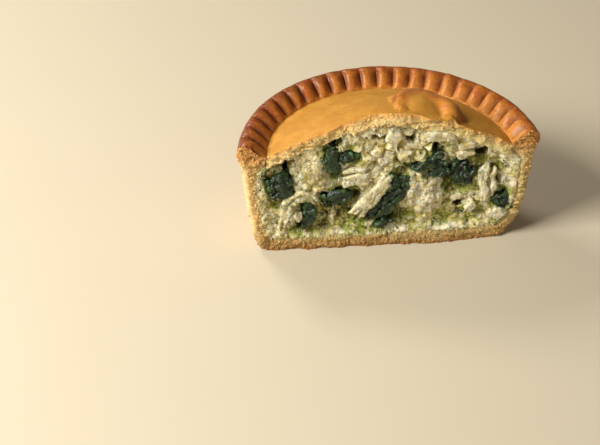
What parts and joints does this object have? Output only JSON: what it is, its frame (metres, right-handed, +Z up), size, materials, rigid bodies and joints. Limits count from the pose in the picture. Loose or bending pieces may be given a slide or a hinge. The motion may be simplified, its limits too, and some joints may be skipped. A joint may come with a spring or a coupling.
{
  "type": "chicken pie",
  "caption": "Half of a deep-filled chicken and spinach pie with a crimped shortcrust rim and domed lid, standing on its base with the cut side showing the creamy filling.",
  "frame": {"origin": "on the table plane, in the middle of the box round the half pie", "axes": "+X along the cut face to the right, +Y from the cut face towards the back of the rim, +Z up"},
  "size_m": [0.1097, 0.053, 0.0567],
  "materials": {
    "case_crust": "baked shortcrust, browned and egg-washed on the rim, pale crumb where cut",
    "lid_crust": "golden baked shortcrust, satin, pale crumb where cut",
    "cream_sauce": "moist creamy sauce with green herb specks",
    "spinach": "wet wilted spinach leaf",
    "chicken": "fibrous cooked chicken, moist"
  },
  "bodies": {
    "root": {"pastry_case": "case_crust", "pastry_lid": "lid_crust", "filling": "cream_sauce", "spinach_01": "spinach", "spinach_02": "spinach", "spinach_03": "spinach", "spinach_04": "spinach", "spinach_05": "spinach", "spinach_06": "spinach", "spinach_07": "spinach", "spinach_08": "spinach", "spinach_09": "spinach", "spinach_10": "spinach", "spinach_11": "spinach", "chicken_01": "chicken", "chicken_02": "chicken", "chicken_03": "chicken", "chicken_04": "chicken", "chicken_05": "chicken", "chicken_06": "chicken", "chicken_07": "chicken", "chicken_08": "chicken", "chicken_09": "chicken", "chicken_10": "chicken", "chicken_11": "chicken", "chicken_12": "chicken"}
  },
  "joints": []
}
